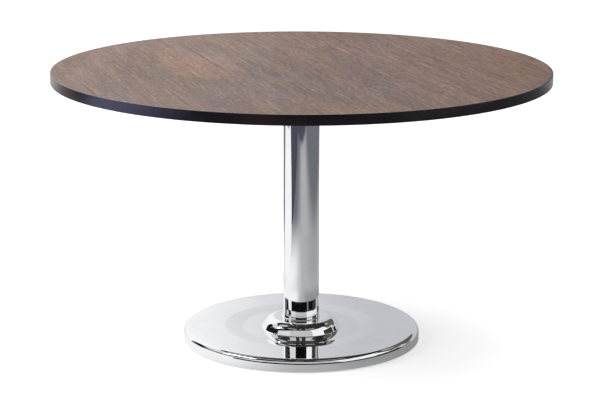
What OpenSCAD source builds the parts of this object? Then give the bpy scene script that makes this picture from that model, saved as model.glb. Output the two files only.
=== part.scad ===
/* [Tabletop] */
// Height of the table, from the floor to the face of the top
table_h = 730; // [650:5:800]
// Diameter of the round top over its lipping
top_d = 1300; // [900:10:1500]
// Thickness of the board inside the top
core_t = 25; // [22:1:34]
// Thickness of the face veneer
face_t = 0.6; // [0.4:0.1:1.5]
// Thickness of the backing veneer
backing_t = 0.6; // [0.4:0.1:1.5]
// Radial width of the dark lipping round the top
lipping_w = 4; // [2:0.5:10]
// Rounding of the lipping's upper and lower arris
lipping_round = 0.8; // [0.3:0.1:1.5]

/* [Mounting plate] */
// Reach of each arm from the axis of the column
arm_reach = 300; // [240:5:400]
// Width of each arm
arm_w = 50; // [36:2:80]
// Thickness of the plate
plate_t = 6; // [4:0.5:10]
// Diameter of the plate's centre
plate_centre_d = 160; // [120:5:220]
// Distance of the inner screws from the axis
inner_screw_r = 150; // [120:5:200]
// Distance of the outer screws from the end of their arm
outer_screw_inset = 25; // [12:1:40]
// Height of the boss that centres the column under the plate
boss_h = 12; // [6:1:30]

/* [Screws and inserts] */
// Thread diameter of the plate screws
screw_d = 6; // [4:1:6]
// Length of a plate screw under its head
screw_l = 18; // [14:1:22]
// Diameter of a screw's head
screw_head_d = 10.5; // [8:0.5:14]
// Height of a screw's head
screw_head_h = 3.3; // [2.8:0.1:5]
// Width across the flats of the socket in a screw's head
socket_af = 4; // [2.5:0.5:5]
// Depth of the socket in a screw's head
socket_depth = 2; // [1:0.1:2.5]
// Diameter of the washer under a screw's head
washer_d = 12; // [10:0.5:18]
// Thickness of the washer under a screw's head
washer_t = 1.6; // [0.8:0.2:2.4]
// Outer diameter of a threaded insert
insert_d = 10; // [8:0.5:14]
// Length of a threaded insert
insert_l = 13; // [10:1:18]

/* [Tie rod] */
// Thread diameter of the tie rod
rod_d = 14; // [10:1:18]
// Width across the flats of a tie rod nut
nut_af = 21; // [20:1:27]
// Height of a tie rod nut
nut_h = 12; // [8:1:15]
// Length of rod that stands past each nut
rod_spare = 3; // [1:0.5:4]
// Diameter of the washer above the mounting plate
head_washer_d = 28; // [24:1:36]
// Thickness of the washer above the mounting plate
head_washer_t = 2.5; // [1.5:0.5:4]
// Diameter of the washer under the ballast
foot_washer_d = 60; // [36:2:80]
// Thickness of the washer under the ballast
foot_washer_t = 5; // [3:0.5:8]
// Height of the rod's lower end above the floor
rod_floor_gap = 4; // [2:0.5:8]

/* [Column] */
// Outer diameter of the column tube
column_d = 95; // [70:1:120]
// Wall of the column tube
column_wall = 2; // [1.5:0.5:5]

/* [Base cover] */
// Diameter of the base
base_d = 630; // [560:5:750]
// Thickness of the spun sheet
cover_t = 1.2; // [0.8:0.1:1.6]
// Height of the flat outer ring above the floor
ring_z = 35; // [33:0.5:45]
// Width of the flat outer ring
ring_w = 112; // [104:1:130]
// Height of the rim's lower edge above the floor
rim_lift = 3; // [1:0.5:8]
// Radius of the shoulder between the ring and the rim
shoulder_round = 14.5; // [5:0.5:16]
// Depth of the outer edge of the dish, below the ring
dish_depth = 4; // [2:0.1:5]
// Further fall of the dish from there to the foot of the dome
dish_fall = 1; // [0.2:0.1:2]
// Radial width of the slope between the ring and the dish
dish_slope_w = 47; // [30:1:60]
// Rounding of both ends of that slope
dish_round = 60; // [20:5:80]
// Height of the collar round the column, above the ring
collar_rise = 35.5; // [29:0.5:55]
// Fillet between the collar and the dome
collar_fillet = 2.5; // [1.5:0.5:5]
// Height of the dome above the ring, where it meets the collar
dome_rise = 23.5; // [22:0.1:25]
// Rise of the dome's top from the collar to its brow
dome_swell = 0.8; // [0.2:0.1:2]
// Radial distance from the collar to the brow's corner
brow_w = 42; // [34:1:50]
// Rounding of the brow
brow_round = 30; // [18:1:32]
// Radial width of the sloping side below the brow
side_w = 12.6; // [10:0.2:18]
// Fillet between the side and the dish
foot_fillet = 2.5; // [2:0.5:5]

/* [Ballast] */
// Radial gap between the ballast and the rim of the cover
ballast_gap = 13.8; // [10:0.2:20]
// Height of the raised land that carries the cover
land_h = 8.8; // [7.4:0.1:11]
// Radial width of the land
land_w = 82; // [70:1:88]
// Height of the hub's seat for the column, above the plate of the ballast
hub_rise = 11; // [4:0.5:14]
// Width of the hub outside the column
hub_ledge = 12.5; // [6:0.5:20]
// Height of the spigot that centres the column
spigot_h = 14; // [6:1:40]
// Rounding of the cast edges
cast_round = 1.5; // [0.5:0.25:1.75]
// Fillet between the hub and the plate of the ballast
hub_fillet = 6; // [2:0.5:9]

/* [Glides] */
// Distance of the glides inside the edge of the ballast
glide_inset = 30; // [22:1:50]
// Angle of the first glide from the X axis
glide_angle = 45; // [0:5:90]
// Diameter of a glide's pad
pad_d = 30; // [22:1:40]
// Height of a glide's pad
pad_h = 7; // [5:0.5:10]
// Rounding of the pad's upper edge
pad_round = 1.6; // [0.5:0.1:2]
// Chamfer round the pad's foot
pad_chamfer = 1; // [0.4:0.1:2]
// Depth of the socket in the pad
pad_socket = 4; // [2.5:0.5:4.5]
// Diameter of the shank that turns in the pad
shank_d = 10; // [6:0.5:13]
// Width across the flats of the glide's hexagon
hex_af = 17; // [13:1:24]
// Height of the glide's hexagon
hex_h = 5.4; // [3:0.2:8]
// Thread diameter of the glide's stem
stem_d = 8; // [6:0.5:12]

/* [Clearances] */
// Radial clearance of a piece that centres in another
spigot_gap = 0.1; // [0.05:0.05:0.5]
// Radial gap between the collar of the cover and the column
collar_gap = 0.2; // [0.1:0.1:0.6]
// Radial clearance of screws and the rod in plain holes
hole_gap = 0.5; // [0.2:0.1:1]
// Radial clearance of a thread or shank that turns
turning_gap = 0.06; // [0.02:0.01:0.1]
// Gap between faces that move apart
face_gap = 0.3; // [0.2:0.05:0.5]
// Room round and beyond hidden ends in their pockets
pocket_gap = 2; // [1:0.5:4]

/* [Hidden] */
$fn = 128;
arc_step = 7.5;
cut = 1;

top_r = top_d / 2;
core_r = top_r - lipping_w;
face_z = table_h - face_t;
core_z = face_z - core_t;
backing_z = core_z - backing_t;
plate_z = backing_z - plate_t;
washer_z = plate_z - washer_t;
screw_tip_z = washer_z + screw_l;
insert_top_z = backing_z + insert_l;
outer_screw_r = arm_reach - outer_screw_inset;

column_r = column_d / 2;
column_bore_r = column_r - column_wall;
rod_r = rod_d / 2;
rod_hole_r = rod_r + hole_gap;
head_nut_z = backing_z + head_washer_t;
rod_top_z = head_nut_z + nut_h + rod_spare;
foot_nut_z = rod_floor_gap + rod_spare;
foot_washer_z = foot_nut_z + nut_h;
recess_z = foot_washer_z + foot_washer_t;

base_r = base_d / 2;
collar_r = column_r + collar_gap + cover_t;
brow_r = collar_r + brow_w;
dome_foot_r = brow_r + side_w;
ring_r = base_r - ring_w;
dish_r = ring_r - dish_slope_w;
dome_z = ring_z + dome_rise;
brow_z = dome_z + dome_swell;
dish_z = ring_z - dish_depth;
dome_foot_z = dish_z - dish_fall;

shank_z = pad_h - pad_socket + face_gap;
hex_z = pad_h + face_gap;
stem_z = hex_z + hex_h;
ballast_z = stem_z + face_gap;
land_z = ring_z - cover_t;
stem_top_z = land_z - face_gap;
ballast_r = base_r - cover_t - ballast_gap;
land_outer_r = ballast_r - cast_round - 2;
land_inner_r = land_outer_r - land_w;
glide_r = ballast_r - glide_inset;
web_z = land_z - land_h;
seat_z = web_z + hub_rise;
spigot_z = seat_z + spigot_h;
hub_r = column_r + hub_ledge;
spigot_r = column_bore_r - spigot_gap;

function unit(v) = v / norm(v);

function turned(v, angle) = [
    v.x * cos(angle) - v.y * sin(angle),
    v.x * sin(angle) + v.y * cos(angle)
];

// Points that round the corner b of the outline a, b, c to radius r
function corner_arc(a, b, c, r) =
    let (
        back = unit(a - b),
        ahead = unit(c - b),
        half = acos(back * ahead) / 2,
        middle = b + unit(back + ahead) * r / sin(half),
        start = b + back * r / tan(half),
        sweep = 180 - 2 * half,
        side = back.x * ahead.y - back.y * ahead.x > 0 ? -1 : 1,
        steps = max(2, ceil(sweep / arc_step))
    )
    [for (k = [0 : steps]) middle + turned(start - middle, side * sweep * k / steps)];

// An outline from corners [radius, height, rounding], open at its two ends
function rounded_path(corners) = [
    for (i = [0 : len(corners) - 1])
        let (
            last = len(corners) - 1,
            here = [corners[i][0], corners[i][1]]
        )
        each (i == 0 || i == last || corners[i][2] == 0 ? [here] : corner_arc(
            [corners[i - 1][0], corners[i - 1][1]],
            here,
            [corners[i + 1][0], corners[i + 1][1]],
            corners[i][2]
        ))
];

// The same path moved sideways by a distance, to the right of its direction
function shifted_path(path, distance) = [
    for (i = [0 : len(path) - 1])
        let (
            before = path[i] - path[max(i - 1, 0)],
            after = path[min(i + 1, len(path) - 1)] - path[i],
            first = unit(i == 0 ? after : before),
            second = unit(i == len(path) - 1 ? before : after),
            normal = unit([first.y + second.y, -first.x - second.x])
        )
        path[i] + normal * distance / (normal * [first.y, -first.x])
];

function reversed(list) = [for (i = [len(list) - 1 : -1 : 0]) list[i]];

// Upper outline of the spun cover, from the collar outwards to the rim
cover_outline = rounded_path([
    [collar_r, ring_z + collar_rise, 0],
    [collar_r, dome_z, collar_fillet],
    [brow_r, brow_z, brow_round],
    [dome_foot_r, dome_foot_z, foot_fillet],
    [dish_r, dish_z, dish_round],
    [ring_r, ring_z, dish_round],
    [base_r, ring_z, shoulder_round],
    [base_r, rim_lift, 0]
]);

// A ring or disc from its radii, its lower face and its height
module washer(outer_r, inner_r, z, height) {
    translate([0, 0, z])
        difference() {
            cylinder(r = outer_r, h = height);
            translate([0, 0, -cut])
                cylinder(r = inner_r, h = height + 2 * cut);
        }
}

// A hexagon with its corners chamfered at both ends
module hexagon(af, z, height) {
    corner_r = af / 2 / cos(30);
    chamfer = corner_r - af / 2;
    translate([0, 0, z])
        intersection() {
            cylinder(r = corner_r, h = height, $fn = 6);
            rotate_extrude()
                polygon([
                    [0, 0], [af / 2, 0], [corner_r, chamfer / 2],
                    [corner_r, height - chamfer / 2], [af / 2, height], [0, height]
                ]);
        }
}

module at_screws() {
    for (arm = [0 : 3], r = [inner_screw_r, outer_screw_r])
        rotate([0, 0, 90 * arm])
            translate([r, 0, 0])
                children();
}

module at_glide(i) {
    rotate([0, 0, glide_angle + 90 * (i - 1)])
        translate([glide_r, 0, 0])
            children();
}

module top_veneer() {
    color("rosybrown")
        translate([0, 0, face_z])
            cylinder(r = core_r, h = face_t);
}

module top_core() {
    pocket_r = head_washer_d / 2 + pocket_gap;
    pilot_z = max(screw_tip_z, insert_top_z) + pocket_gap / 4;
    color("burlywood")
        difference() {
            translate([0, 0, core_z])
                cylinder(r = core_r, h = core_t);
            translate([0, 0, core_z - cut])
                cylinder(r = pocket_r, h = rod_top_z + pocket_gap - core_z + cut);
            at_screws() {
                translate([0, 0, core_z - cut])
                    cylinder(d = insert_d, h = insert_top_z - core_z + cut);
                translate([0, 0, core_z])
                    cylinder(d = screw_d + 2 * hole_gap, h = pilot_z - core_z);
            }
        }
}

module backing_veneer() {
    color("peru")
        difference() {
            translate([0, 0, backing_z])
                cylinder(r = core_r, h = backing_t);
            translate([0, 0, backing_z - cut])
                cylinder(r = head_washer_d / 2 + pocket_gap, h = backing_t + 2 * cut);
            at_screws()
                translate([0, 0, backing_z - cut])
                    cylinder(d = insert_d + 2 * spigot_gap, h = backing_t + 2 * cut);
        }
}

module edge_lipping() {
    color("dimgray")
        rotate_extrude()
            polygon(rounded_path([
                [core_r, backing_z, 0],
                [top_r, backing_z, lipping_round],
                [top_r, table_h, lipping_round],
                [core_r, table_h, 0]
            ]));
}

module top_inserts() {
    color("goldenrod")
        at_screws()
            washer(insert_d / 2, screw_d / 2, backing_z, insert_l);
}

module mounting_plate() {
    color("dimgray")
        difference() {
            translate([0, 0, plate_z])
                union() {
                    cylinder(d = plate_centre_d, h = plate_t);
                    for (arm = [0 : 3])
                        rotate([0, 0, 90 * arm]) {
                            translate([0, -arm_w / 2, 0])
                                cube([arm_reach - arm_w / 2, arm_w, plate_t]);
                            translate([arm_reach - arm_w / 2, 0, 0])
                                cylinder(d = arm_w, h = plate_t);
                        }
                }
            translate([0, 0, plate_z - cut])
                cylinder(r = rod_hole_r, h = plate_t + 2 * cut);
            at_screws()
                translate([0, 0, plate_z - cut])
                    cylinder(d = screw_d + 2 * hole_gap, h = plate_t + 2 * cut);
        }
}

module plate_boss() {
    color("dimgray")
        washer(spigot_r, rod_hole_r, plate_z - boss_h, boss_h);
}

module plate_screws() {
    color("silver")
        at_screws()
            difference() {
                union() {
                    translate([0, 0, washer_z])
                        cylinder(d = screw_d, h = screw_l);
                    translate([0, 0, washer_z - screw_head_h])
                        rotate_extrude()
                            polygon(rounded_path([
                                [0, 0, 0],
                                [screw_head_d / 2, 0, screw_head_h / 2],
                                [screw_head_d / 2, screw_head_h, 0],
                                [0, screw_head_h, 0]
                            ]));
                }
                translate([0, 0, washer_z - screw_head_h - cut])
                    cylinder(d = socket_af / cos(30), h = socket_depth + cut, $fn = 6);
            }
}

module plate_washers() {
    color("silver")
        at_screws()
            washer(washer_d / 2, screw_d / 2 + hole_gap / 2, washer_z, washer_t);
}

module column_tube() {
    color("lightsteelblue")
        washer(column_r, column_bore_r, seat_z, plate_z - seat_z);
}

module tie_rod() {
    color("silver")
        translate([0, 0, rod_floor_gap])
            cylinder(r = rod_r, h = rod_top_z - rod_floor_gap);
}

module tie_rod_nuts() {
    color("silver")
        for (z = [foot_nut_z, head_nut_z])
            difference() {
                hexagon(nut_af, z, nut_h);
                translate([0, 0, z - cut])
                    cylinder(r = rod_r, h = nut_h + 2 * cut);
            }
}

module head_washer() {
    color("silver")
        washer(head_washer_d / 2, rod_hole_r, backing_z, head_washer_t);
}

module foot_washer() {
    color("silver")
        washer(foot_washer_d / 2, rod_hole_r, foot_washer_z, foot_washer_t);
}

module base_cover() {
    color("lightsteelblue")
        rotate_extrude()
            polygon(concat(cover_outline, reversed(shifted_path(cover_outline, cover_t))));
}

module ballast() {
    recess_r = foot_washer_d / 2 + pocket_gap;
    color("darkslategray")
        difference() {
            rotate_extrude()
                polygon(rounded_path([
                    [rod_hole_r, recess_z, 0],
                    [recess_r, recess_z, cast_round],
                    [recess_r, ballast_z, cast_round],
                    [ballast_r, ballast_z, cast_round],
                    [ballast_r, web_z, cast_round],
                    [land_outer_r, web_z, cast_round / 2],
                    [land_outer_r, land_z, cast_round],
                    [land_inner_r, land_z, cast_round],
                    [land_inner_r, web_z, cast_round / 2],
                    [hub_r, web_z, hub_fillet],
                    [hub_r, seat_z, cast_round],
                    [spigot_r, seat_z, 0],
                    [spigot_r, spigot_z, cast_round],
                    [rod_hole_r, spigot_z, 0]
                ]));
            for (i = [1 : 4])
                at_glide(i)
                    translate([0, 0, ballast_z - cut])
                        cylinder(r = stem_d / 2 + turning_gap, h = land_z - ballast_z + 2 * cut);
        }
}

module glide_stem(i) {
    color("gainsboro")
        at_glide(i) {
            translate([0, 0, shank_z])
                cylinder(d = shank_d, h = hex_z - shank_z);
            hexagon(hex_af, hex_z, hex_h);
            translate([0, 0, stem_z])
                cylinder(d = stem_d, h = stem_top_z - stem_z);
        }
}

module glide_pad(i) {
    color("gray")
        at_glide(i)
            difference() {
                rotate_extrude()
                    polygon(rounded_path([
                        [0, 0, 0],
                        [pad_d / 2 - pad_chamfer, 0, 0],
                        [pad_d / 2, pad_chamfer, 0],
                        [pad_d / 2, pad_h, pad_round],
                        [0, pad_h, 0]
                    ]));
                translate([0, 0, pad_h - pad_socket])
                    cylinder(r = shank_d / 2 + turning_gap, h = pad_socket + cut);
            }
}

top_veneer();
top_core();
backing_veneer();
edge_lipping();
top_inserts();
mounting_plate();
plate_boss();
plate_screws();
plate_washers();
column_tube();
tie_rod();
tie_rod_nuts();
head_washer();
foot_washer();
base_cover();
ballast();
for (i = [1 : 4]) glide_stem(i);
for (i = [1 : 4]) glide_pad(i);
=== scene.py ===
"""Looks of a round pedestal table: veneered top, dark lipping, chromed column and spun base."""

import math

import bmesh
import bpy
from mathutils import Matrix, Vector


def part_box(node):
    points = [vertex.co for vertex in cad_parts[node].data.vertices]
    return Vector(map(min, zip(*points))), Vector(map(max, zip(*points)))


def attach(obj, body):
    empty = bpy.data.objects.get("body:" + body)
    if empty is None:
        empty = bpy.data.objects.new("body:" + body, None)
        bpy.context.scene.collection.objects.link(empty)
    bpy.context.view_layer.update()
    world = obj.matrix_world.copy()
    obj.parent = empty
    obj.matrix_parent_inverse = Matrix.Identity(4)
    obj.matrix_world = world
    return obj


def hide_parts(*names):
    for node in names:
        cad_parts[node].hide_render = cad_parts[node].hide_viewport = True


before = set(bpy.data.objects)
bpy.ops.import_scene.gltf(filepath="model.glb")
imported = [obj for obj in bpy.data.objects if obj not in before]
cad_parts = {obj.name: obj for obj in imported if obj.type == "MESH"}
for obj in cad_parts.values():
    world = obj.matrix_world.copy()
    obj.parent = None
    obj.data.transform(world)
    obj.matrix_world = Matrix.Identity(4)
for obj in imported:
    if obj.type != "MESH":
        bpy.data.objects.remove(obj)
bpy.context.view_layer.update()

# Unit, and the fineness of the meshes
MM = 0.001
SEGMENTS = 360
ARC_STEP = math.radians(3)
OUTLINE_STEP = 12 * MM
SHARP_ANGLE = math.radians(35)

# Lipping, column and glides
LIPPING_ROUND = 0.8 * MM
COLUMN_WALL = 2 * MM
GLIDES = 4

# Spun cover, with the sizes of the CAD: a flat ring, a dish, and a dome with a collar
COVER_T = 1.2 * MM
RING_Z = 35 * MM
RING_W = 112 * MM
SHOULDER_ROUND = 14.5 * MM
DISH_DEPTH = 4 * MM
DISH_FALL = 1 * MM
DISH_SLOPE_W = 47 * MM
DISH_ROUND = 60 * MM
DOME_RISE = 23.5 * MM
DOME_SWELL = 0.8 * MM
BROW_W = 42 * MM
BROW_ROUND = 30 * MM
SIDE_W = 12.6 * MM
FOOT_FILLET = 2.5 * MM
COLLAR_GAP = 0.2 * MM
COLLAR_FILLET = 2.5 * MM

# Veneer: the turn of its grain, the middles of its soft colour patches and of its patch of painted
# shade, and where the backing darkens
GRAIN_TURN = math.radians(-16.5)
WARM_PLACE = (-0.40, 0.25, 0)
COOL_PLACE = (0.05, -0.38, 0)
PAINTED_SHADE_PLACE = (-0.08, -0.2, 0)
BACKING_DARK_FROM = 0.72
BACKING_DARK_WIDTH = 0.2

# Threads
ROD_PITCH = 2 * MM
STEM_PITCH = 1.25 * MM

# Floor and world
FLOOR_REACH = 20.0
FLOOR_COLOUR = (0.82, 0.82, 0.82, 1)
FLOOR_LIFT = 0.54
WORLD_LEVEL = 0.55

# Cards that lie on the floor: their layers from the lowest up, and their edges
DARK_LAYER = 0.2 * MM
PAPER_LAYER = 0.4 * MM
SHEET_LAYER = 0.5 * MM
REFLECTOR_LAYER = 0.6 * MM
TINT_LAYER = 0.8 * MM
DARK_REACH = 9.0
PAPER_REACH = 6.0
PAPER_LEFT = -1.15
PAPER_FRONT = -2.65
REFLECTOR_PLACE = (-3.2, 0.45)
REFLECTOR_RADII = (2.56, 1.3)
REFLECTOR_TURN = math.radians(-8)
REFLECTOR_LEFT = -2.95
REFLECTOR_STEPS = 48
COOL_GLOW = (1.1, 1.2, 2.1, 1)

# Cards that stand round the table, where a nearer one hides those behind it. Elevations are
# seen from CARD_BASE above the floor on the axis. Curved cards bend every CARD_STEP degrees or less.
CARD_BASE = 0.04
CARD_STEP = 6
BACKDROP_AWAY = 3.0
SCREEN_AWAY = 6.5
LOW_AWAY = 6.0
MID_AWAY = 5.7
FOOT_AWAY = 5.6
STRIP_AWAY = 2.2
SLOPE_AWAY = 2.0

# Stops of the two slanted cards: a bearing, and the lower and upper elevation there
SLOPE_STOPS = [
    (-108, 8, 15), (-92, 13, 21), (-77, 19, 36), (-66, 26, 50),
    (-55, 32, 60), (-38, 42, 61), (-20, 50, 62), (70, 52, 62),
]
FOOT_STOPS = [(-150, 0, 5), (-128, 1, 8), (-106, 8, 15.5)]

# Cards that hang just under the top
HUNG_Z = 0.69
HUNG_OUTER = 0.47
HUNG_INNER = 0.40
HUNG_STEPS = 6
HUNG_OVAL_PLACE = (-0.4, 0.1)
HUNG_OVAL_RADII = (0.16, 0.12)
HUNG_OVAL_STEPS = 32

# Camera, fitted to the outlines in the photograph
PHOTO_W = 600
FOCAL_PX = 1955.1
CENTRE_PX = 301.415
CAMERA_DISTANCE = 5.028
CAMERA_HEIGHT = 1.5667
CAMERA_PITCH = 0.2324
CAMERA_ROLL = 0.0024
SENSOR_W = 36.0


# Meshes


def unit(x, y):
    length = math.hypot(x, y)
    return x / length, y / length


def rounded_path(corners):
    """Points (radius, height) of an open outline whose corners (radius, height, rounding) are round."""
    path = []
    for i, (r, z, rounding) in enumerate(corners):
        if i in (0, len(corners) - 1) or rounding == 0:
            path.append((r, z))
            continue
        back = unit(corners[i - 1][0] - r, corners[i - 1][1] - z)
        ahead = unit(corners[i + 1][0] - r, corners[i + 1][1] - z)
        half = math.acos(back[0] * ahead[0] + back[1] * ahead[1]) / 2
        middle_way = unit(back[0] + ahead[0], back[1] + ahead[1])
        away = rounding / math.sin(half)
        middle = (r + middle_way[0] * away, z + middle_way[1] * away)
        run = rounding / math.tan(half)
        start = (r + back[0] * run - middle[0], z + back[1] * run - middle[1])
        sweep = math.pi - 2 * half
        side = -1 if back[0] * ahead[1] - back[1] * ahead[0] > 0 else 1
        steps = max(4, math.ceil(sweep / ARC_STEP))
        for k in range(steps + 1):
            angle = side * sweep * k / steps
            path.append((
                middle[0] + start[0] * math.cos(angle) - start[1] * math.sin(angle),
                middle[1] + start[0] * math.sin(angle) + start[1] * math.cos(angle),
            ))
    return path


def inner_path(path, distance):
    """The path moved by a distance to the right of its direction."""
    moved = []
    last = len(path) - 1
    for i, (r, z) in enumerate(path):
        r0, z0 = path[max(i - 1, 0)]
        r1, z1 = path[min(i + 1, last)]
        along = unit(r1 - r0, z1 - z0)
        moved.append((r + along[1] * distance, z - along[0] * distance))
    return moved


def subdivided(path, longest):
    """The path with points added so that no stretch is longer than the given length."""
    points = [path[0]]
    for (r0, z0), (r1, z1) in zip(path, path[1:]):
        parts = max(1, math.ceil(math.hypot(r1 - r0, z1 - z0) / longest))
        points += [
            (r0 + (r1 - r0) * k / parts, z0 + (z1 - z0) * k / parts)
            for k in range(1, parts + 1)
        ]
    return points


def lathe(name, outline):
    """A closed mesh turned about the Z axis from a closed outline of (radius, height) points."""
    rings = []
    work = bmesh.new()
    for r, z in outline:
        rings.append([
            work.verts.new((
                r * math.cos(2 * math.pi * k / SEGMENTS),
                r * math.sin(2 * math.pi * k / SEGMENTS),
                z,
            ))
            for k in range(SEGMENTS)
        ])
    for ring, following in zip(rings, rings[1:] + rings[:1]):
        for k in range(SEGMENTS):
            after = (k + 1) % SEGMENTS
            work.faces.new((ring[k], following[k], following[after], ring[after]))
    bmesh.ops.recalc_face_normals(work, faces=work.faces)
    mesh = bpy.data.meshes.new(name)
    work.to_mesh(mesh)
    work.free()
    for polygon in mesh.polygons:
        polygon.use_smooth = True
    mesh.set_sharp_from_angle(angle=SHARP_ANGLE)
    piece = bpy.data.objects.new(name, mesh)
    bpy.context.scene.collection.objects.link(piece)
    return piece


# Shader nodes


def new_material(name):
    material = bpy.data.materials.new(name)
    material.use_nodes = True
    material.node_tree.nodes.clear()
    return material


def add(tree, kind, inputs=None, **settings):
    """Adds a node. Inputs are keyed by name or number, each a value or another node's socket."""
    node = tree.nodes.new(kind)
    for key, value in settings.items():
        setattr(node, key, value)
    for key, value in (inputs or {}).items():
        socket = node.inputs[key]
        if isinstance(value, bpy.types.NodeSocket):
            tree.links.new(value, socket)
        else:
            socket.default_value = value
    return node


def show(tree, shader):
    """Makes a shader the surface of the material."""
    add(tree, "ShaderNodeOutputMaterial", {"Surface": shader.outputs[0]})


def object_point(tree):
    return add(tree, "ShaderNodeTexCoord").outputs["Object"]


def separated(tree, point):
    return add(tree, "ShaderNodeSeparateXYZ", {0: point}).outputs


def combined(tree, x, y, z=0.0):
    return add(tree, "ShaderNodeCombineXYZ", {0: x, 1: y, 2: z}).outputs[0]


def length_of(tree, point):
    return add(tree, "ShaderNodeVectorMath", {0: point}, operation="LENGTH").outputs["Value"]


def stretched(tree, point, scale, turn=0.0, shift=(0, 0, 0)):
    """The point turned about Z and shifted, then scaled along each axis, in cycles per metre."""
    turned = add(tree, "ShaderNodeMapping", {
        "Vector": point, "Rotation": (0, 0, turn), "Location": shift,
    })
    return add(tree, "ShaderNodeMapping", {
        "Vector": turned.outputs[0], "Scale": scale,
    }).outputs[0]


def noise(tree, point, scale=1.0, detail=2.0, roughness=0.5, distortion=0.0):
    return add(tree, "ShaderNodeTexNoise", {
        "Vector": point, "Scale": scale, "Detail": detail,
        "Roughness": roughness, "Distortion": distortion,
    }).outputs["Fac"]


def ramp(tree, value, low, high, to_low=0.0, to_high=1.0):
    """A smooth step from to_low, where the value is low, to to_high, where it is high."""
    return add(tree, "ShaderNodeMapRange", {
        "Value": value, "From Min": low, "From Max": high,
        "To Min": to_low, "To Max": to_high,
    }, interpolation_type="SMOOTHSTEP").outputs[0]


def math_node(tree, operation, first, second=0.0):
    return add(tree, "ShaderNodeMath", {0: first, 1: second}, operation=operation).outputs[0]


def blend(tree, factor, first, second):
    """A mix of two colours. The node's sockets go by number, because several share a name."""
    return add(tree, "ShaderNodeMix", {0: factor, 6: first, 7: second}, data_type="RGBA").outputs[2]


def patch(tree, point, centre, scale, strength):
    """A soft patch in the grain's direction: its strength at the centre, falling to nothing round it."""
    away = add(tree, "ShaderNodeVectorMath", {0: point, 1: centre}, operation="SUBTRACT").outputs[0]
    spread = length_of(tree, stretched(tree, away, scale, GRAIN_TURN))
    return ramp(tree, spread, 0.0, 1.0, strength, 0.0)


def rgb(r, g, b):
    """A colour written in the 0 to 255 steps of a screen, as linear light."""
    def linear(step):
        c = step / 255
        return c / 12.92 if c <= 0.04045 else ((c + 0.055) / 1.055) ** 2.4
    return (linear(r), linear(g), linear(b), 1.0)


def grey(step):
    return rgb(step, step, step)


def scaled(colour, share):
    """The colour with a share of its light."""
    return tuple(share * c for c in colour[:3]) + (1.0,)


def finish_material(tree, inputs, height, depth):
    """A Principled surface, with a bump of the given depth in metres."""
    bump = add(tree, "ShaderNodeBump", {"Height": height, "Distance": depth, "Strength": 1.0})
    show(tree, add(tree, "ShaderNodeBsdfPrincipled", {**inputs, "Normal": bump.outputs[0]}))


# Materials


def veneer_material(name, dark, mid, light, warm, cool, roughness, dark_from=None):
    """Open-grained veneer: broad figure, streaks, fibres and pores, all along one grain direction, and a
    patch of painted shade.

    Further from the object's origin than dark_from, if it is given, the colour darkens.
    """
    material = new_material(name)
    tree = material.node_tree
    point = object_point(tree)

    def grain(across, along, shift=(0, 0, 0), **look):
        """Noise drawn out along the grain, in cycles per metre across it and along it."""
        return noise(tree, stretched(tree, point, (across, along, 1), GRAIN_TURN, shift), **look)

    figure = grain(9, 1.0, distortion=0.4)
    streak = grain(46, 1.5, detail=3, roughness=0.6)
    dash = grain(230, 5.5, roughness=0.6)
    line = grain(250, 2.2, (0.5, 0.8, 0), detail=1)
    fleck = grain(260, 7, (0.9, 0.4, 0), roughness=0.6)
    fibre = grain(220, 45, roughness=0.6)
    open_pore = ramp(tree, grain(260, 20, (0.3, 0.1, 0)), 0.6, 0.68)
    warmth = math_node(
        tree, "ADD",
        grain(4.5, 1.6, (0.7, 0.2, 0)),
        patch(tree, point, WARM_PLACE, scale=(4.0, 1.4, 0), strength=0.26),
    )
    chill = math_node(
        tree, "ADD",
        grain(4.1, 2.2, (2.1, 1.7, 0), detail=3),
        patch(tree, point, COOL_PLACE, scale=(2.2, 3.4, 0), strength=0.22),
    )
    deep = scaled(dark, 0.4)
    pale = scaled(light, 1.35)
    layers = [
        (ramp(tree, figure, 0.3, 0.75, 0, 0.4), dark),
        # painted shade: a darker patch towards the front of the top
        (patch(tree, point, PAINTED_SHADE_PLACE, scale=(1.4, 1.3, 0), strength=1.0), dark),
        (ramp(tree, warmth, 0.6, 0.9, 0, 0.75), warm),
        (ramp(tree, chill, 0.52, 0.8, 0, 0.7), cool),
        (ramp(tree, streak, 0.4, 0.7, 0, 0.3), light),
        (ramp(tree, dash, 0.45, 0.33, 0, 0.7), deep),
        (ramp(tree, line, 0.4, 0.3, 0, 0.8), deep),
        (ramp(tree, fleck, 0.57, 0.7, 0, 0.6), pale),
        (ramp(tree, fibre, 0.48, 0.3, 0, 0.36), pale),
        (ramp(tree, fibre, 0.52, 0.7, 0, 0.45), deep),
        (math_node(tree, "MULTIPLY", open_pore, 0.6), deep),
    ]
    if dark_from:
        reach = length_of(tree, point)
        layers.append((ramp(tree, reach, dark_from, dark_from + BACKING_DARK_WIDTH, 0, 0.9), deep))
    tone = mid
    for strength, colour in layers:
        tone = blend(tree, strength, tone, colour)
    sheen = noise(tree, stretched(tree, point, (6, 2, 1)), detail=3)
    finish_material(tree, {
        "Base Color": tone,
        "Roughness": ramp(tree, sheen, 0.2, 0.8, roughness - 0.04, roughness + 0.06),
        "Specular IOR Level": 0.3,
    }, math_node(tree, "SUBTRACT", math_node(tree, "MULTIPLY", fibre, 0.3), open_pore), 0.1 * MM)
    return material


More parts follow.
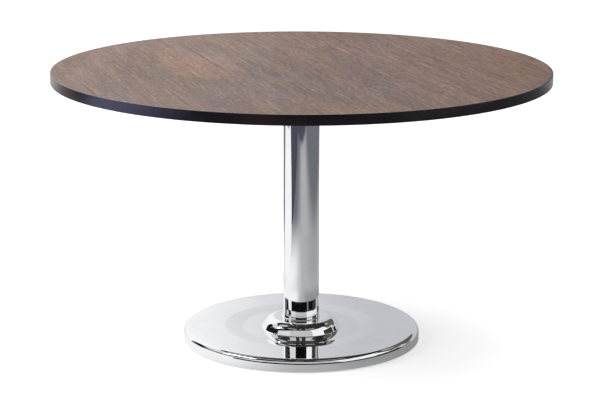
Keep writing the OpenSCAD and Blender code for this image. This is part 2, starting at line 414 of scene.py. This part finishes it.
def lipping_material(name):
    """Dark stained solid wood bent round the edge, its grain along the rim."""
    material = new_material(name)
    tree = material.node_tree
    x, y, z = separated(tree, object_point(tree))
    around = combined(tree, math_node(tree, "ARCTAN2", y, x), z)
    streak = noise(tree, stretched(tree, around, (5, 260, 1)), detail=4, roughness=0.6)
    pore = noise(tree, stretched(tree, around, (40, 900, 1)), detail=1)
    red_patch = noise(tree, stretched(tree, around, (2.5, 12, 1)))
    open_pore = ramp(tree, pore, 0.6, 0.72)
    tone = blend(tree, ramp(tree, streak, 0.35, 0.7), rgb(13, 8, 13), rgb(24, 16, 23))
    tone = blend(tree, ramp(tree, red_patch, 0.5, 0.75, 0, 0.6), tone, rgb(44, 18, 22))
    tone = blend(tree, math_node(tree, "MULTIPLY", open_pore, 0.5), tone, rgb(6, 5, 7))
    finish_material(tree, {
        "Base Color": tone,
        "Roughness": ramp(tree, red_patch, 0.2, 0.8, 0.2, 0.3),
        "IOR": 1.55,
    }, math_node(tree, "SUBTRACT", math_node(tree, "MULTIPLY", streak, 0.4), open_pore), 0.06 * MM)
    return material


def chrome_material(name, line_scale, swell_scale):
    """Bright chrome plate with faint working marks, a broad swell, smudges and scratches.

    The scales of the marks and the swell are in cycles for each metre outwards, radian round
    the Z axis and metre up, so that a spun piece has rings and a drawn tube has upright lines.
    """
    material = new_material(name)
    tree = material.node_tree
    point = object_point(tree)
    x, y, z = separated(tree, point)
    radius = length_of(tree, combined(tree, x, y))
    worked = combined(tree, radius, math_node(tree, "ARCTAN2", y, x), z)
    lines = noise(tree, stretched(tree, worked, line_scale), detail=3, roughness=0.6)
    swell = noise(tree, stretched(tree, worked, swell_scale), detail=1)
    smudge = noise(tree, point, 9, detail=4, roughness=0.6)
    scratch = noise(tree, stretched(tree, point, (700, 26, 60), turn=0.7), detail=1)
    scratched = math_node(tree, "MULTIPLY", ramp(tree, scratch, 0.72, 0.8), -0.02)
    height = math_node(
        tree, "ADD",
        math_node(tree, "MULTIPLY", lines, 0.05),
        math_node(tree, "ADD", swell, scratched),
    )
    clean = (0.94, 0.945, 0.96, 1)
    handled = (0.88, 0.885, 0.9, 1)
    finish_material(tree, {
        "Base Color": blend(tree, ramp(tree, smudge, 0.4, 0.8), clean, handled),
        "Metallic": 1.0,
        "Roughness": ramp(tree, smudge, 0.35, 0.8, 0.03, 0.07),
    }, height, 0.06 * MM)
    return material


def speckled_material(name, dark, light, roughness, grain, depth, metallic=0.0):
    """A cast, coated or moulded surface with a fine all-over texture, in cycles per metre."""
    material = new_material(name)
    tree = material.node_tree
    point = object_point(tree)
    fine = noise(tree, point, grain, detail=4, roughness=0.65)
    broad = noise(tree, point, grain / 30, detail=3)
    tone = blend(tree, ramp(tree, fine, 0.3, 0.7), dark, light)
    tone = blend(tree, ramp(tree, broad, 0.3, 0.75, 0, 0.5), tone, dark)
    finish_material(tree, {
        "Base Color": tone,
        "Metallic": metallic,
        "Roughness": ramp(tree, broad, 0.2, 0.8, roughness - 0.08, roughness + 0.08),
    }, fine, depth)
    return material


def threaded_material(name, pitch):
    """Plated steel with a thread cut round the Z axis."""
    material = new_material(name)
    tree = material.node_tree
    point = object_point(tree)
    smudge = noise(tree, point, 60, detail=4)
    turns = math_node(tree, "MULTIPLY", separated(tree, point)[2], 2 * math.pi / pitch)
    tone = blend(tree, ramp(tree, smudge, 0.3, 0.7), rgb(160, 162, 166), rgb(196, 198, 200))
    finish_material(tree, {
        "Base Color": tone,
        "Metallic": 1.0,
        "Roughness": ramp(tree, smudge, 0.2, 0.8, 0.27, 0.45),
    }, math_node(tree, "SINE", turns), pitch / 8)
    return material


face_wood = veneer_material(
    "face_wood", dark=rgb(77, 55, 43), mid=rgb(103, 76, 59), light=rgb(139, 107, 86),
    warm=rgb(126, 82, 56), cool=rgb(84, 68, 70), roughness=0.42,
)
backing_wood = veneer_material(
    "backing_wood", dark=rgb(52, 48, 43), mid=rgb(66, 62, 55), light=rgb(78, 74, 66),
    warm=rgb(78, 68, 56), cool=rgb(60, 59, 55), roughness=0.6, dark_from=BACKING_DARK_FROM,
)
dark_lipping = lipping_material("dark_lipping")
spun_chrome = chrome_material("spun_chrome", line_scale=(520, 1.2, 520), swell_scale=(34, 0.7, 34))
drawn_chrome = chrome_material("drawn_chrome", line_scale=(0, 260, 1.5), swell_scale=(0, 2.5, 3))
core_board = speckled_material(
    "core_board", rgb(150, 120, 88), rgb(188, 158, 122), roughness=0.85, grain=900, depth=0.2 * MM,
)
powder_coat = speckled_material(
    "powder_coat", rgb(24, 24, 26), rgb(36, 36, 38), roughness=0.5, grain=1400, depth=0.08 * MM,
)
cast_iron = speckled_material(
    "cast_iron", rgb(50, 50, 52), rgb(80, 79, 80), roughness=0.7, grain=500, depth=0.4 * MM,
)
pad_plastic = speckled_material(
    "pad_plastic", rgb(36, 36, 38), rgb(48, 48, 50), roughness=0.5, grain=1800, depth=0.04 * MM,
)
zinc_steel = speckled_material(
    "zinc_steel", rgb(176, 178, 182), rgb(206, 208, 210),
    roughness=0.32, grain=700, depth=0.03 * MM, metallic=1.0,
)
turned_brass = speckled_material(
    "turned_brass", rgb(170, 134, 70), rgb(204, 168, 96),
    roughness=0.35, grain=600, depth=0.04 * MM, metallic=1.0,
)
rod_thread = threaded_material("rod_thread", ROD_PITCH)
stem_thread = threaded_material("stem_thread", STEM_PITCH)

CAD_FINISHES = {
    "top_veneer": face_wood,
    "top_core": core_board,
    "backing_veneer": backing_wood,
    "top_inserts": turned_brass,
    "mounting_plate": powder_coat,
    "plate_boss": powder_coat,
    "plate_screws": zinc_steel,
    "plate_washers": zinc_steel,
    "tie_rod": rod_thread,
    "tie_rod_nuts": zinc_steel,
    "head_washer": zinc_steel,
    "foot_washer": zinc_steel,
    "ballast": cast_iron,
}
for i in range(1, GLIDES + 1):
    CAD_FINISHES[f"glide_stem_{i}"] = stem_thread
    CAD_FINISHES[f"glide_pad_{i}"] = pad_plastic


def paint(obj, material):
    obj.data.materials.clear()
    obj.data.materials.append(material)


for node_name, finish in CAD_FINISHES.items():
    paint(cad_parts[node_name], finish)


# Pieces


def dress(piece, material, node_name):
    """Gives a piece its finish and lets it stand for a CAD node of the root body."""
    paint(piece, material)
    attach(piece, "root")
    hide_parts(node_name)


def edge_band():
    low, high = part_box("edge_lipping")
    inner_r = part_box("top_veneer")[1].x
    outline = rounded_path([
        (inner_r, low.z, 0),
        (high.x, low.z, LIPPING_ROUND),
        (high.x, high.z, LIPPING_ROUND),
        (inner_r, high.z, 0),
    ])
    dress(lathe("edge_band", outline), dark_lipping, "edge_lipping")


def chrome_column():
    low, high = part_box("column_tube")
    inner_r = high.x - COLUMN_WALL
    outline = [(high.x, low.z), (high.x, high.z), (inner_r, high.z), (inner_r, low.z)]
    dress(lathe("chrome_column", outline), drawn_chrome, "column_tube")


def spun_cover():
    low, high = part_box("base_cover")
    collar_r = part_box("column_tube")[1].x + COLLAR_GAP + COVER_T
    brow_r = collar_r + BROW_W
    ring_r = high.x - RING_W
    dome_z = RING_Z + DOME_RISE
    dish_z = RING_Z - DISH_DEPTH
    upper = rounded_path([
        (collar_r, high.z, 0),
        (collar_r, dome_z, COLLAR_FILLET),
        (brow_r, dome_z + DOME_SWELL, BROW_ROUND),
        (brow_r + SIDE_W, dish_z - DISH_FALL, FOOT_FILLET),
        (ring_r - DISH_SLOPE_W, dish_z, DISH_ROUND),
        (ring_r, RING_Z, DISH_ROUND),
        (high.x, RING_Z, SHOULDER_ROUND),
        (high.x, low.z, 0),
    ])
    outside = subdivided(upper, OUTLINE_STEP)
    outline = outside + inner_path(outside, COVER_T)[::-1]
    dress(lathe("spun_cover", outline), spun_chrome, "base_cover")


edge_band()
chrome_column()
spun_cover()


# Studio


def seen_ray(tree):
    """One for a ray of the camera, a mirror or a glass, and zero for any other."""
    path = add(tree, "ShaderNodeLightPath")
    seen = math_node(tree, "ADD", path.outputs["Is Camera Ray"], path.outputs["Is Glossy Ray"])
    seen = math_node(tree, "ADD", seen, path.outputs["Is Transmission Ray"])
    return math_node(tree, "MINIMUM", seen, 1.0)


def floor_material():
    """Pale floor that takes the shadow, brought up to white where the camera or a mirror sees it.

    It is clear from below, so that the underside of the table can be looked at.
    """
    material = new_material("floor_paper")
    tree = material.node_tree
    lift = math_node(tree, "MULTIPLY", seen_ray(tree), FLOOR_LIFT)
    paper = add(tree, "ShaderNodeBsdfDiffuse", {"Color": FLOOR_COLOUR})
    glow = add(tree, "ShaderNodeEmission", {"Color": (1, 1, 1, 1), "Strength": lift})
    both = add(tree, "ShaderNodeAddShader", {0: paper.outputs[0], 1: glow.outputs[0]})
    clear = add(tree, "ShaderNodeBsdfTransparent")
    below = add(tree, "ShaderNodeNewGeometry").outputs["Backfacing"]
    show(tree, add(tree, "ShaderNodeMixShader", {0: below, 1: both.outputs[0], 2: clear.outputs[0]}))
    return material


def card_material(name, shade):
    """A glowing card. Its shade is a colour, or a function that makes one from the card's nodes."""
    material = new_material(name + "_shade")
    tree = material.node_tree
    colour = shade(tree) if callable(shade) else shade
    show(tree, add(tree, "ShaderNodeEmission", {"Color": colour, "Strength": 1.0}))
    return material


def floor_shade(tree):
    """The studio floor as chrome sees it, with light and shade painted in: white at the left, grey at
    the right, darker further out.

    Close to the base, the painted change from white to grey is steeper and lies further right.
    """
    point = object_point(tree)
    across = separated(tree, point)[0]
    reach = length_of(tree, point)
    near = blend(tree, ramp(tree, across, -0.7, 0.15), grey(249), grey(180))
    near = blend(tree, ramp(tree, across, 0.2, 1.0), near, grey(160))
    rim = blend(tree, ramp(tree, across, -0.3, 0.02), grey(248), grey(178))
    rim = blend(tree, ramp(tree, across, 0.02, 0.3), rim, grey(148))
    near = blend(tree, ramp(tree, reach, 0.45, 0.6), rim, near)
    aside = math_node(tree, "ABSOLUTE", math_node(tree, "SUBTRACT", across, 0.45))
    far = blend(tree, ramp(tree, aside, 0.2, 1.4), grey(178), rgb(110, 112, 118))
    return blend(tree, ramp(tree, reach, 0.7, 1.5), near, far)


def backdrop_shade(tree):
    """The backdrop as chrome sees it, with painted light falling from the left: white at the left and a
    pale grey at the right.
    """
    across = separated(tree, object_point(tree))[0]
    return blend(tree, ramp(tree, across, -0.62, 0.3), grey(252), rgb(197, 197, 202))


def staged(name, corners, material, faces=None):
    """A sheet of the studio, which is no part of the table. Without faces, it is a single one."""
    mesh = bpy.data.meshes.new(name)
    mesh.from_pydata(corners, [], faces or [tuple(range(len(corners)))])
    sheet = bpy.data.objects.new(name, mesh)
    bpy.context.scene.collection.objects.link(sheet)
    paint(sheet, material)
    return sheet


def reflection_card(name, corners, shade, faces=None):
    """A glowing sheet that only the chrome and the lacquer see."""
    card = staged(name, corners, card_material(name, shade), faces)
    card.visible_camera = False
    card.visible_diffuse = False
    card.visible_shadow = False
    card.visible_transmission = False


def level_corners(across, away, height):
    """Corners of a level rectangle between two values of X and two of Y."""
    return [
        (across[0], away[0], height), (across[1], away[0], height),
        (across[1], away[1], height), (across[0], away[1], height),
    ]


def level_oval(centre, radii, height, steps, turn=0.0):
    """Corners of a level oval, whose first radius is turned from the X axis."""
    corners = []
    for k in range(steps):
        along = radii[0] * math.cos(2 * math.pi * k / steps)
        aside = radii[1] * math.sin(2 * math.pi * k / steps)
        corners.append((
            centre[0] + along * math.cos(turn) - aside * math.sin(turn),
            centre[1] + along * math.sin(turn) + aside * math.cos(turn),
            height,
        ))
    return corners


def bearing_point(bearing, distance):
    """X and Y at a bearing in degrees, where 0 is towards the camera and 90 is to its right."""
    return distance * math.sin(math.radians(bearing)), -distance * math.cos(math.radians(bearing))


def wall_card(name, across, away, heights, shade):
    """An upright rectangle behind the table, from one value of X to another."""
    reflection_card(name, [
        (across[0], away, heights[0]), (across[1], away, heights[0]),
        (across[1], away, heights[1]), (across[0], away, heights[1]),
    ], shade)


def curved_card(name, stops, distance, shade):
    """A curved card round the table, through stops of a bearing and its lower and upper elevation."""
    edges = [stops[0]]
    for start, end in zip(stops, stops[1:]):
        steps = math.ceil((end[0] - start[0]) / CARD_STEP)
        edges += [
            tuple(a + (b - a) * k / steps for a, b in zip(start, end))
            for k in range(1, steps + 1)
        ]
    corners = [
        (*bearing_point(bearing, distance), CARD_BASE + distance * math.tan(math.radians(rise)))
        for bearing, low, high in edges
        for rise in (low, high)
    ]
    faces = [(k, k + 2, k + 3, k + 1) for k in range(0, len(corners) - 2, 2)]
    reflection_card(name, corners, shade, faces)


def around_card(name, bearings, elevations, distance, shade):
    """A curved card between two bearings and two elevations."""
    curved_card(name, [(bearing, *elevations) for bearing in bearings], distance, shade)


def hung_sector(name, first, last, shade):
    """A sheet hung under the front of the top, between two bearings."""
    bearings = [first + (last - first) * k / HUNG_STEPS for k in range(HUNG_STEPS + 1)]
    corners = [(*bearing_point(bearing, HUNG_OUTER), HUNG_Z) for bearing in bearings]
    corners += [(*bearing_point(bearing, HUNG_INNER), HUNG_Z) for bearing in reversed(bearings)]
    reflection_card(name, corners, shade)


def lay_floor():
    """The floor, and the glowing sheets with painted tones that the chrome and the lacquer see in its
    place.
    """
    whole_floor = (-FLOOR_REACH, FLOOR_REACH)
    staged("floor", level_corners(whole_floor, whole_floor, 0), floor_material())

    # Paper, with a darker floor past its left and front edges
    paper = level_corners((PAPER_LEFT, PAPER_REACH), (PAPER_FRONT, PAPER_REACH), PAPER_LAYER)
    reflection_card("floor_card", paper, floor_shade)
    dark_floor = level_corners((-DARK_REACH, DARK_REACH), (-DARK_REACH, DARK_REACH), DARK_LAYER)
    reflection_card("dark_floor", dark_floor, rgb(74, 74, 88))

    # Other tones towards the backdrop
    left_back = level_corners((-2.6, PAPER_LEFT), (1.1, BACKDROP_AWAY), SHEET_LAYER)
    reflection_card("left_back_floor", left_back, grey(125))
    warm_floor = level_corners((-5.6, -2.65), (1.3, BACKDROP_AWAY), SHEET_LAYER)
    reflection_card("warm_floor", warm_floor, rgb(190, 150, 155))
    warm_right = level_corners((1.5, 3.4), (2.4, 2.99), TINT_LAYER)
    reflection_card("warm_right", warm_right, rgb(98, 80, 76))

    # A cool sheet at the left, glowing brighter than white, which the lipping mirrors as a painted
    # bluish sheen
    cool_sheet = level_corners((-7.5, -3.3), (-3.4, 1.0), TINT_LAYER)
    reflection_card("cool_sheet", cool_sheet, COOL_GLOW)

    # An oval glowing white sheet at the left, a painted reflection, with its far side cut straight
    oval = level_oval(REFLECTOR_PLACE, REFLECTOR_RADII, REFLECTOR_LAYER, REFLECTOR_STEPS, REFLECTOR_TURN)
    reflection_card("left_reflector", [(max(x, REFLECTOR_LEFT), y, z) for x, y, z in oval], grey(252))


def stand_cards():
    """The room that the chrome mirrors, painted on glowing cards: walls behind the table, and curved
    cards round it.
    """
    wall_card("backdrop_card", (-4, 4), BACKDROP_AWAY, (0.01, 5.0), backdrop_shade)
    wall_card("back_right", (0.9, 4.5), 2.9, (1.25, 3.6), rgb(95, 93, 82))
    around_card("left_low", (-122, -66), (0, 16.5), LOW_AWAY, grey(252))
    around_card("front_dark", (-70, 80), (0, 22.5), SCREEN_AWAY, rgb(12, 12, 16))
    around_card("right_dark", (78, 110), (0, 22.5), SCREEN_AWAY, rgb(56, 57, 58))
    around_card("left_dark", (-116, -70), (0, 25), SCREEN_AWAY, rgb(58, 64, 70))
    around_card("left_edge", (-160, -116), (0, 25), SCREEN_AWAY, grey(206))
    around_card("left_mid", (-138, -110), (10, 30), MID_AWAY, rgb(24, 24, 28))
    around_card("front_screen", (-70, 97), (22.5, 60), SCREEN_AWAY, grey(196))
    around_card("left_screen", (-150, -70), (25, 60), SCREEN_AWAY, grey(214))
    around_card("right_edge", (110, 150), (-1, 24), SCREEN_AWAY, grey(200))
    around_card("right_back", (97, 132), (26, 50), SCREEN_AWAY, rgb(92, 90, 80))
    around_card("right_line", (100, 165), (2, 9), LOW_AWAY, rgb(30, 30, 34))
    curved_card("left_slope", SLOPE_STOPS, SLOPE_AWAY, rgb(26, 26, 29))
    curved_card("left_foot", FOOT_STOPS, FOOT_AWAY, rgb(26, 26, 29))
    around_card("left_strip", (-86, -36), (17, 52), STRIP_AWAY, grey(222))
    around_card("right_streak", (38, 48), (8, 17), STRIP_AWAY, grey(120))
    around_card("right_strip", (36, 74), (16.5, 52), STRIP_AWAY, grey(250))
    around_card("right_upper", (72, 96), (22, 52), STRIP_AWAY, grey(250))


def hang_cards():
    """Glowing pale sheets under the top, which paint pale reflections on the dome and the shoulder."""
    oval = level_oval(HUNG_OVAL_PLACE, HUNG_OVAL_RADII, HUNG_Z, HUNG_OVAL_STEPS)
    reflection_card("hung_sheet", oval, grey(200))
    hung_sector("left_sheet", -58, -20, grey(200))
    hung_sector("middle_sheet", -7, 3, grey(170))
    hung_sector("right_sheet", 18, 58, grey(200))


def softbox(name, place, target, size, power):
    lamp = bpy.data.lights.new(name, "AREA")
    lamp.size = size
    lamp.energy = power
    obj = bpy.data.objects.new(name, lamp)
    obj.location = place
    obj.rotation_euler = (Vector(target) - Vector(place)).to_track_quat("-Z", "Y").to_euler()
    bpy.context.scene.collection.objects.link(obj)


def light_world():
    """Even light from all round, brought up to white where the camera or a mirror sees it."""
    world = bpy.data.worlds.new("studio")
    bpy.context.scene.world = world
    world.use_nodes = True
    tree = world.node_tree
    background = tree.nodes["Background"]
    background.inputs["Color"].default_value = (1, 1, 1, 1)
    strength = ramp(tree, seen_ray(tree), 0.0, 1.0, WORLD_LEVEL, 1.0)
    tree.links.new(strength, background.inputs["Strength"])


def place_camera():
    camera = bpy.data.cameras.new("camera")
    camera.sensor_width = SENSOR_W
    camera.lens = FOCAL_PX * SENSOR_W / PHOTO_W
    camera.shift_x = (PHOTO_W / 2 - CENTRE_PX) / PHOTO_W
    obj = bpy.data.objects.new("camera", camera)
    obj.location = (0, -CAMERA_DISTANCE, CAMERA_HEIGHT)
    obj.rotation_mode = "ZXY"
    obj.rotation_euler = (math.pi / 2 - CAMERA_PITCH, 0, CAMERA_ROLL)
    bpy.context.scene.collection.objects.link(obj)
    bpy.context.scene.camera = obj


lay_floor()
stand_cards()
hang_cards()
softbox("softbox_left", place=(-3.0, -1.0, 3.4), target=(0, 0, 0.5), size=2.4, power=120)
softbox("softbox_top", place=(0.6, 0.8, 4.2), target=(0, 0, 0.3), size=3.0, power=90)
light_world()
place_camera()
bpy.context.scene.view_settings.view_transform = "Standard"
